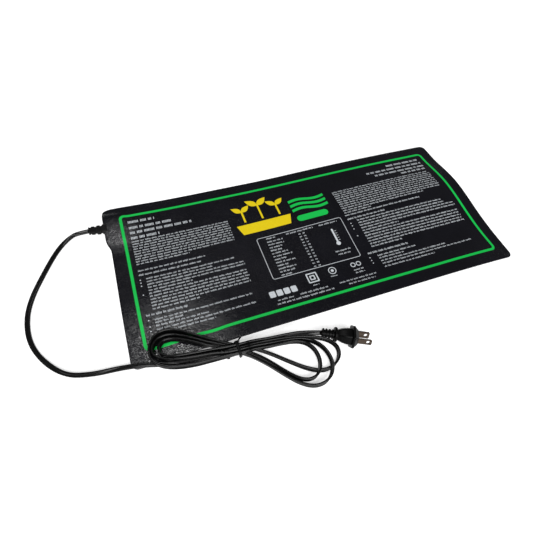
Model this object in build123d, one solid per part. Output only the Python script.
"""Seedling heat mat: a flexible laminated heating mat with a moulded cord entry,
a flat two-core lead wound into a tied figure-of-eight hank, and a two-blade plug.

Millimetres. The origin is the centre of the mat's underside, +X runs along the
long side away from the cord entry, +Y towards the back edge and +Z is up.
"""

import math
import os

from build123d import *

# The mat, outside sizes.
MAT_LENGTH = 495.3
MAT_WIDTH = 225.4
MAT_CORNER = 8.0
SHEET = 0.6
FILM = 0.2
FOIL = 0.2
WELD_LAND = 9.0

# The heating element between the sheets.
ELEMENT_START = -237.0
ELEMENT_END = 238.0
ELEMENT_HALF_WIDTH = 101.0
BUS_WIDTH = 6.0
BUS_CENTRE_Y = 95.0
BUS_START = -236.0
BUS_END = 236.0
STRIP_COUNT = 27
STRIP_PITCH = 16.8
STRIP_WIDTH = 13.0
STRIP_START = -218.0
JUMPER_WIDTH = 4.0
NOTCH_LENGTH = 7.5
NOTCH_FRONT_Y = 70.0

# The cord entry at the left end of the mat.
ENTRY_Y = 84.0
ENTRY_Z = 3.0
ANCHOR_LENGTH = 9.65
ANCHOR_FRONT_Y = 58.0
ANCHOR_BACK_Y = 98.0
ANCHOR_TOP = 4.4
POTTING_FRONT_Y = 73.0
ROOM_BACK_Y = 100.0
ROOM_LENGTH = 19.0
BLISTER_WALL = 0.8
BLISTER_LENGTH = 26.0
BLISTER_BACK_Y = 107.0
BLISTER_FRONT_Y = 51.0
RELIEF_REACH = 22.35
RELIEF_RIBS = 3
RIB_WIDTH = 12.2
RIB_HEIGHT = 6.0
RIB_THICKNESS = 4.4
RIB_GAP = 2.4
END_COLLAR = 1.6
RELIEF_TAPER = 0.78
CORE_PITCH = 2.6
CORE_DIAMETER = 1.2

# The cord: a round tube with the same section area as the flat 5.4 x 2.8 mm lead.
CORD_DIAMETER = 4.2
LEAD_ROUTE = [
    (-270.0, 84.0, 3.0),
    (-291.0, 84.0, 3.0),
    (-309.0, 68.0, 2.2),
    (-323.0, 43.0, 2.2),
    (-342.5, -2.0, 2.2),
    (-343.5, -38.0, 2.2),
    (-331.0, -64.0, 2.2),
    (-307.0, -97.0, 2.2),
    (-283.0, -103.0, 2.8),
    (-256.0, -106.0, 5.2),
    (-230.0, -112.5, 5.4),
]
TAIL_START = [(-128.0, -121.5, 9.6), (-103.0, -122.0, 10.8)]
TAIL_LEAD_IN = 26.0

# The tied hank, as the outer shape of its two lobes of loops.
LEFT_LOBE = [(-203.0, -105.0, 24.0), (-178.0, -112.0, 17.0), (-144.0, -124.0, 7.0)]
LEFT_EYE = [(-205.0, -105.0, 9.0), (-176.0, -111.0, 3.0)]
LEFT_LOBE_Z = (2.2, 8.9)
RIGHT_LOBE = [(-63.0, -163.0, 24.0), (-95.0, -131.0, 8.0), (-132.0, -124.5, 7.0)]
RIGHT_EYE = [(-78.0, -158.0, 11.0), (-97.0, -142.0, 5.0)]
RIGHT_LOBE_Z = (0.0, 6.0)
KNOT_CENTRE = (-138.0, -124.3)
KNOT_SIZE = (17.0, 15.0)
KNOT_Z = (2.4, 12.4)
KNOT_CORNER = 2.5
WAIST_ROOM = 4.5

# The wire tie round the hank's waist.
TIE_RADIUS = 1.0
TIE_WIRE_RADIUS = 0.4
TIE_BEND = 2.2
TIE_ROUTE = [
    (-149.0, -138.0, 1.1),
    (-139.6, -127.0, 1.1),
    (-139.2, -115.6, 1.1),
    (-139.0, -115.6, 13.6),
    (-138.0, -133.0, 13.6),
    (-137.0, -133.0, 1.2),
    (-136.4, -115.6, 1.2),
    (-135.8, -115.6, 13.0),
    (-133.5, -110.5, 16.0),
]

# The moulded two-blade plug, in its own frame: Z points out along the blades
# and X runs from one blade to the other.
PLUG_FACE = (-13.7, -154.5, 11.9)
PLUG_HEADING = -24.9
PLUG_DIP = 2.0
PLUG_ROLL = 30.0
PLUG_LENGTH = 39.0
PLUG_RIBS = 4
PLUG_RIB_PITCH = 3.5
PLUG_RIB_THICKNESS = 1.9
PLUG_RIB_RADIUS = 5.3
RELIEF_TIP_RADIUS = 3.6
RELIEF_ROOT_RADIUS = 4.4
COLLAR_RADIUS = 8.2
COLLAR_BACK = -25.4
COLLAR_FRONT = -22.3
NECK_RADIUS = 5.8
SHOULDER_RADIUS = 10.2
FLANGE_RADIUS = 13.8
FLANGE_BACK = -6.6
FLANGE_FRONT = -4.4
FACE_RADIUS = 8.8
BRIDGE_SIZE = (15.2, 8.0, 8.0)
BRIDGE_BACK = -12.0
BLADE_SPACING = 12.7
BLADE_LENGTH = 15.0
BLADE_THICKNESS = 1.5
LINE_BLADE_WIDTH = 6.35
NEUTRAL_BLADE_WIDTH = 7.9
BLADE_HOLE_RADIUS = 1.9
BLADE_HOLE_FROM_TIP = 4.2
BLADE_SHANK_BACK = -12.0
CRIMP_LENGTH = 4.0
CRIMP_SIZE = 3.0

HALF_LENGTH = MAT_LENGTH / 2
HALF_WIDTH = MAT_WIDTH / 2
FILM_BOTTOM = SHEET
FOIL_BOTTOM = FILM_BOTTOM + FILM
FOIL_TOP = FOIL_BOTTOM + FOIL
POCKET_TOP = FOIL_TOP + FILM
MAT_TOP = POCKET_TOP + SHEET


def block(x_range, y_range, z_range):
    """A box given by its low and high coordinate on each axis."""
    size = [high - low for low, high in (x_range, y_range, z_range)]
    middle = [(low + high) / 2 for low, high in (x_range, y_range, z_range)]
    return Pos(*middle) * Box(*size)


def rounded_plate(length, width, corner, z_low, z_high):
    """A flat plate with round corners, centred on the origin."""
    outline = RectangleRounded(length, width, corner)
    return Pos(0, 0, z_low) * extrude(outline, z_high - z_low)


def hull_plate(circles, z_range):
    """A flat plate whose outline is drawn tightly round some circles."""
    edges = [Pos(x, y) * Edge.make_circle(radius) for x, y, radius in circles]
    low, high = z_range
    return Pos(0, 0, low) * extrude(make_hull(edges), high - low)


def tube(path, radius, bore=0.0):
    """A round bar, or a pipe when it has a bore, along a smooth path."""
    section = Circle(radius)
    if bore:
        section -= Circle(bore)
    start = Plane(origin=path @ 0, z_dir=path % 0)
    return sweep(start * section, path=path)


# --- the mat -----------------------------------------------------------------


def bottom_sheet():
    return rounded_plate(MAT_LENGTH, MAT_WIDTH, MAT_CORNER, 0, SHEET)


def blister_range():
    """The raised part of the top sheet over the cord anchor."""
    x_range = (-HALF_LENGTH, -HALF_LENGTH + BLISTER_LENGTH)
    y_range = (BLISTER_FRONT_Y, BLISTER_BACK_Y)
    return x_range, y_range


def top_sheet():
    """The printed sheet: a welded rim, a shallow pocket and the cord blister."""
    sheet = rounded_plate(MAT_LENGTH, MAT_WIDTH, MAT_CORNER, SHEET, MAT_TOP)
    x_range, y_range = blister_range()
    blister = block(x_range, y_range, (MAT_TOP, ANCHOR_TOP + BLISTER_WALL))
    sides = blister.edges().group_by(Axis.Z)[-1].filter_by(Axis.X)
    inner_end = blister.edges().group_by(Axis.Z)[-1].sort_by(Axis.X)[-1]
    blister = chamfer(sides + [inner_end], 3.0)
    pocket = block(
        (ELEMENT_START - 1.0, HALF_LENGTH - WELD_LAND),
        (-HALF_WIDTH + WELD_LAND, HALF_WIDTH - WELD_LAND),
        (SHEET, POCKET_TOP),
    )
    anchor_room = block(
        (-HALF_LENGTH, -HALF_LENGTH + ANCHOR_LENGTH),
        (ANCHOR_FRONT_Y, ANCHOR_BACK_Y),
        (SHEET, ANCHOR_TOP),
    )
    terminal_room = block(
        (-HALF_LENGTH + ANCHOR_LENGTH, -HALF_LENGTH + ROOM_LENGTH),
        (ANCHOR_FRONT_Y, ROOM_BACK_Y),
        (SHEET, ANCHOR_TOP),
    )
    return sheet + blister - pocket - anchor_room - terminal_room


def element_base_film():
    x_range = (ELEMENT_START, ELEMENT_END)
    y_range = (-ELEMENT_HALF_WIDTH, ELEMENT_HALF_WIDTH)
    return block(x_range, y_range, (FILM_BOTTOM, FOIL_BOTTOM))


def element_cover_film():
    """The upper film, notched where the terminals reach the foil."""
    x_range = (ELEMENT_START, ELEMENT_END)
    y_range = (-ELEMENT_HALF_WIDTH, ELEMENT_HALF_WIDTH)
    film = block(x_range, y_range, (FOIL_TOP, POCKET_TOP))
    notch = block(
        (ELEMENT_START, ELEMENT_START + NOTCH_LENGTH),
        (NOTCH_FRONT_Y, ELEMENT_HALF_WIDTH),
        (FOIL_TOP, POCKET_TOP),
    )
    return film - notch


def bus_bar(side):
    """A foil conductor along one long edge of the element; side is 1 or -1."""
    middle = side * BUS_CENTRE_Y
    y_range = (middle - BUS_WIDTH / 2, middle + BUS_WIDTH / 2)
    return block((BUS_START, BUS_END), y_range, (FOIL_BOTTOM, FOIL_TOP))


def carbon_strips():
    """Resistive strips side by side, each joining the two bus bars."""
    reach = BUS_CENTRE_Y - BUS_WIDTH / 2
    strips = []
    for index in range(STRIP_COUNT):
        x_low = STRIP_START + index * STRIP_PITCH
        x_range = (x_low, x_low + STRIP_WIDTH)
        strips.append(block(x_range, (-reach, reach), (FOIL_BOTTOM, FOIL_TOP)))
    return Compound(children=strips)


def neutral_jumper():
    """The foil that carries the neutral side from the cord to the front bus bar."""
    x_range = (BUS_START, BUS_START + JUMPER_WIDTH)
    y_range = (-BUS_CENTRE_Y + BUS_WIDTH / 2, ENTRY_Y - CORE_PITCH)
    return block(x_range, y_range, (FOIL_BOTTOM, FOIL_TOP))


# --- the cord entry ------------------------------------------------------------


def core_y(side):
    return ENTRY_Y + side * CORE_PITCH / 2


def conductor(side):
    """A copper core from the mat's edge to its terminal; side is 1 or -1."""
    reach = HALF_LENGTH + BUS_START + JUMPER_WIDTH
    core = Rot(0, 90, 0) * Cylinder(CORE_DIAMETER / 2, reach)
    return Pos(-HALF_LENGTH + reach / 2, core_y(side), ENTRY_Z) * core


def terminal(side):
    """A crimp on one core with a leg down to a tab on its foil."""
    half = CORE_PITCH / 2 - 0.2
    x_range = (BUS_START, BUS_START + JUMPER_WIDTH)
    y_middle = core_y(side)
    barrel = block(
        x_range, (y_middle - half, y_middle + half), (ENTRY_Z - 1.1, ENTRY_Z + 1.1)
    )
    outer = y_middle + side * half
    tip = BUS_CENTRE_Y + BUS_WIDTH / 2 if side > 0 else outer - 6.0
    leg_y = sorted((outer, outer + side * 0.6))
    tab_y = sorted((outer, tip))
    leg = block(x_range, leg_y, (FOIL_TOP, ENTRY_Z))
    tab = block(x_range, tab_y, (FOIL_TOP, FOIL_TOP + 0.5))
    return barrel + leg + tab - conductor(side)


def terminal_potting():
    """Soft sealing compound over both terminals."""
    potting = block(
        (ELEMENT_START, ELEMENT_START + NOTCH_LENGTH - 1.0),
        (POTTING_FRONT_Y, ROOM_BACK_Y - 1.0),
        (FOIL_TOP, ANCHOR_TOP),
    )
    for side in (1, -1):
        potting = potting - terminal(side) - conductor(side)
    return potting


def relief_section(x, scale, width, height):
    """A flat oval across the cord at x, its centre on the cord's line."""
    section = SlotOverall(width * scale, height * scale)
    return Plane(origin=(x, ENTRY_Y, ENTRY_Z), x_dir=(0, 1, 0), z_dir=(-1, 0, 0)) * section


def cord_strain_relief():
    """The moulded entry: an anchor between the sheets and a ribbed tapering sleeve."""
    edge = -HALF_LENGTH
    far = edge - RELIEF_REACH
    anchor = block(
        (edge, edge + ANCHOR_LENGTH), (ANCHOR_FRONT_Y, ANCHOR_BACK_Y), (SHEET, ANCHOR_TOP)
    )
    core = loft(
        [
            relief_section(edge, 1.0, RIB_WIDTH - 2.4, RIB_HEIGHT - 1.6),
            relief_section(far, RELIEF_TAPER, RIB_WIDTH - 2.4, RIB_HEIGHT - 0.6),
        ]
    )
    relief = anchor + core
    for index in range(RELIEF_RIBS):
        x = edge - RIB_GAP / 2 - index * (RIB_THICKNESS + RIB_GAP)
        share = index / RELIEF_RIBS
        scale = 1.0 - share * (1.0 - RELIEF_TAPER)
        rib = extrude(relief_section(x, scale, RIB_WIDTH, RIB_HEIGHT), RIB_THICKNESS)
        relief = relief + fillet(rib.edges(), 0.6)
    collar_section = relief_section(far + END_COLLAR, RELIEF_TAPER, RIB_WIDTH, RIB_HEIGHT)
    relief = relief + fillet(extrude(collar_section, END_COLLAR).edges(), 0.4)
    for side in (1, -1):
        relief = relief - conductor(side)
    return relief


# --- the cord, its hank and its tie ---------------------------------------------


def corner_radii(route, share=0.45):
    """The largest fair arc at each corner of a route of straight runs."""
    points = [Vector(*point) for point in route]
    radii = []
    for before, corner, after in zip(points, points[1:], points[2:]):
        turn = (corner - before).get_angle(after - corner)
        shorter = min((corner - before).length, (after - corner).length)
        radii.append(share * shorter / math.tan(math.radians(turn / 2)))
    return radii


def cord_tube(name, route):
    """A stretch of free cord, with its radii and volume printed for checking."""
    radii = corner_radii(route)
    path = FilletPolyline(*route, radius=radii)
    solid = tube(path, CORD_DIAMETER / 2)
    expected = math.pi * CORD_DIAMETER**2 / 4 * path.length
    rounded = [round(radius, 1) for radius in radii]
    print(name, "length", round(path.length, 1), "radii", rounded)
    print(name, "volume", round(solid.volume, 1), "section x length", round(expected, 1))
    return solid


def plug_plane():
    """The plug's frame: origin on its face, Z along the blades."""
    heading = math.radians(PLUG_HEADING)
    dip = math.radians(PLUG_DIP)
    roll = math.radians(PLUG_ROLL)
    along = Vector(
        math.cos(heading) * math.cos(dip), math.sin(heading) * math.cos(dip), -math.sin(dip)
    )
    level = Vector(math.sin(heading), -math.cos(heading), 0)
    upright = level.cross(along)
    if upright.Z < 0:
        upright = -upright
    across = level * math.cos(roll) + upright * math.sin(roll)
    return Plane(origin=PLUG_FACE, x_dir=across, z_dir=along)


def tail_route():
    """From the hank's waist, straight into the plug along its axis."""
    plane = plug_plane()
    depths = (-PLUG_LENGTH - TAIL_LEAD_IN, -PLUG_LENGTH)
    ends = [plane.from_local_coords(Vector(0, 0, depth)) for depth in depths]
    return TAIL_START + [(end.X, end.Y, end.Z) for end in ends]


def stub(end, before, length):
    """A short straight stretch of cord that carries on past the end of a run."""
    heading = (Vector(*end) - Vector(*before)).normalized()
    start = Plane(origin=end, z_dir=heading)
    return start * extrude(Circle(CORD_DIAMETER / 2), length)


def cord_hank():
    """The tied loops as one body: two open lobes joined at the waist."""
    left = hull_plate(LEFT_LOBE, LEFT_LOBE_Z) - hull_plate(LEFT_EYE, LEFT_LOBE_Z)
    right = hull_plate(RIGHT_LOBE, RIGHT_LOBE_Z) - hull_plate(RIGHT_EYE, RIGHT_LOBE_Z)
    x, y = KNOT_CENTRE
    length, width = KNOT_SIZE
    waist_room = block(
        (x - WAIST_ROOM, x + WAIST_ROOM), (y - width, y + width), (-1.0, KNOT_Z[0])
    )
    knot = block(
        (x - length / 2, x + length / 2), (y - width / 2, y + width / 2), KNOT_Z
    )
    knot = fillet(knot.edges().filter_by(Axis.X), KNOT_CORNER)
    lobes = left + right + knot - waist_room
    lead_end = stub(LEAD_ROUTE[-1], LEAD_ROUTE[-2], 9.0)
    tail_end = stub(TAIL_START[0], TAIL_START[1], 4.0)
    return lobes + lead_end + tail_end


def tie_path():
    return FilletPolyline(*TIE_ROUTE, radius=TIE_BEND)


def twist_tie_jacket():
    return tube(tie_path(), TIE_RADIUS, TIE_WIRE_RADIUS)


def twist_tie_wire():
    return tube(tie_path(), TIE_WIRE_RADIUS)


# --- the plug, built along +Z and then placed --------------------------------------


def plug_blade(side, width):
    """A folded brass blade: the outside tongue with its hole, a shank and a crimp."""
    x = side * BLADE_SPACING / 2
    x_range = (x - BLADE_THICKNESS / 2, x + BLADE_THICKNESS / 2)
    tongue = block(x_range, (-width / 2, width / 2), (0, BLADE_LENGTH))
    tip_edges = tongue.edges().group_by(Axis.Z)[-1].filter_by(Axis.X)
    tongue = chamfer(tip_edges, 0.9)
    hole = Rot(0, 90, 0) * Cylinder(BLADE_HOLE_RADIUS, 4 * BLADE_THICKNESS)
    tongue = tongue - Pos(x, 0, BLADE_LENGTH - BLADE_HOLE_FROM_TIP) * hole
    shank = block(x_range, (-2.5, 2.5), (BLADE_SHANK_BACK, 0))
    return tongue + shank


def crimp(side):
    """The barrel that grips a core behind the bridge."""
    half = CRIMP_SIZE / 2
    x = side * (BLADE_SPACING / 2 - half)
    z_range = (BLADE_SHANK_BACK - CRIMP_LENGTH, BLADE_SHANK_BACK)
    return block((x - half, x + half), (-half, half), z_range)


def plug_core(side):
    """A copper core from the cord's end, spreading to its blade's crimp."""
    x = side * (BLADE_SPACING / 2 - CRIMP_SIZE / 2)
    near = side * 1.4
    route = [
        (near, 0, -PLUG_LENGTH),
        (near, 0, -PLUG_LENGTH + 12.0),
        (x, 0, BLADE_SHANK_BACK - CRIMP_LENGTH - 3.0),
        (x, 0, BLADE_SHANK_BACK),
    ]
    return tube(FilletPolyline(*route, radius=3.0), CORE_DIAMETER / 2)


def plug_terminal(side, width):
    return plug_blade(side, width) + crimp(side) - plug_core(side)


def plug_bridge():
    """The stiff insert that holds both blades at their spacing."""
    x, y, z = BRIDGE_SIZE
    bridge = Pos(0, 0, BRIDGE_BACK + z / 2) * Box(x, y, z)
    bridge = fillet(bridge.edges().filter_by(Axis.Z), 1.5)
    return bridge - blades()


def blades():
    line = plug_blade(1, LINE_BLADE_WIDTH)
    neutral = plug_blade(-1, NEUTRAL_BLADE_WIDTH)
    return line + neutral


def hexagon(z, radius, corner):
    outline = RegularPolygon(radius, 6, rotation=30)
    return Pos(0, 0, z) * fillet(outline.vertices(), corner)


def plug_shell():
    """The outside of the moulding: ribbed tail, collar, grip, flange and face."""
    tail = Pos(0, 0, (COLLAR_BACK - PLUG_LENGTH) / 2) * Cone(
        RELIEF_TIP_RADIUS, RELIEF_ROOT_RADIUS, PLUG_LENGTH + COLLAR_BACK
    )
    collar = Pos(0, 0, (COLLAR_BACK + COLLAR_FRONT) / 2) * Cylinder(
        COLLAR_RADIUS, COLLAR_FRONT - COLLAR_BACK
    )
    collar = fillet(collar.edges(), 1.2)
    neck = Pos(0, 0, COLLAR_FRONT - 0.5) * extrude(Circle(NECK_RADIUS), 1.5)
    grip = loft(
        [
            Pos(0, 0, COLLAR_FRONT + 0.5) * fillet(
                RegularPolygon(NECK_RADIUS + 0.5, 6, rotation=30).vertices(), 2.4
            ),
            hexagon(FLANGE_BACK - 7.0, SHOULDER_RADIUS - 0.6, 2.6),
            hexagon(FLANGE_BACK + 0.5, SHOULDER_RADIUS, 2.6),
        ]
    )
    flange = extrude(hexagon(FLANGE_BACK, FLANGE_RADIUS, 1.6), FLANGE_FRONT - FLANGE_BACK)
    flange = fillet(flange.edges().group_by(Axis.Z)[0], 0.8)
    face = loft(
        [hexagon(FLANGE_FRONT, FLANGE_RADIUS - 0.3, 1.6), hexagon(0, FACE_RADIUS, 1.6)]
    )
    shell = tail + collar + neck + grip + flange + face
    for index in range(PLUG_RIBS):
        z = -PLUG_LENGTH + 1.6 + index * PLUG_RIB_PITCH
        rib = Pos(0, 0, z) * Cylinder(PLUG_RIB_RADIUS, PLUG_RIB_THICKNESS)
        shell = shell + fillet(rib.edges(), 0.6)
    return shell


def plug_body():
    """The moulding with room for everything it is moulded round."""
    x, y, z = BRIDGE_SIZE
    insert = Pos(0, 0, BRIDGE_BACK + z / 2) * Box(x, y, z)
    insert = fillet(insert.edges().filter_by(Axis.Z), 1.5)
    body = plug_shell() - insert - blades()
    for side in (1, -1):
        body = body - crimp(side) - plug_core(side)
    return body


def build_nodes():
    """Every piece in its place, by node name."""
    plug = plug_plane().location
    return {
        "bottom_sheet": bottom_sheet(),
        "top_sheet": top_sheet(),
        "element_base_film": element_base_film(),
        "element_cover_film": element_cover_film(),
        "bus_bar_line": bus_bar(1),
        "bus_bar_neutral": bus_bar(-1),
        "carbon_strips": carbon_strips(),
        "neutral_jumper": neutral_jumper(),
        "conductor_line": conductor(1),
        "conductor_neutral": conductor(-1),
        "terminal_line": terminal(1),
        "terminal_neutral": terminal(-1),
        "terminal_potting": terminal_potting(),
        "cord_strain_relief": cord_strain_relief(),
        "cord_lead": cord_tube("cord_lead", LEAD_ROUTE),
        "cord_hank": cord_hank(),
        "cord_tail": cord_tube("cord_tail", tail_route()),
        "twist_tie_jacket": twist_tie_jacket(),
        "twist_tie_wire": twist_tie_wire(),
        "plug_body": plug * plug_body(),
        "plug_bridge": plug * plug_bridge(),
        "plug_blade_line": plug * plug_terminal(1, LINE_BLADE_WIDTH),
        "plug_blade_neutral": plug * plug_terminal(-1, NEUTRAL_BLADE_WIDTH),
        "plug_core_line": plug * plug_core(1),
        "plug_core_neutral": plug * plug_core(-1),
    }


def main():
    os.makedirs("parts", exist_ok=True)
    for name, shape in build_nodes().items():
        export_step(shape, f"parts/{name}.step")


main()
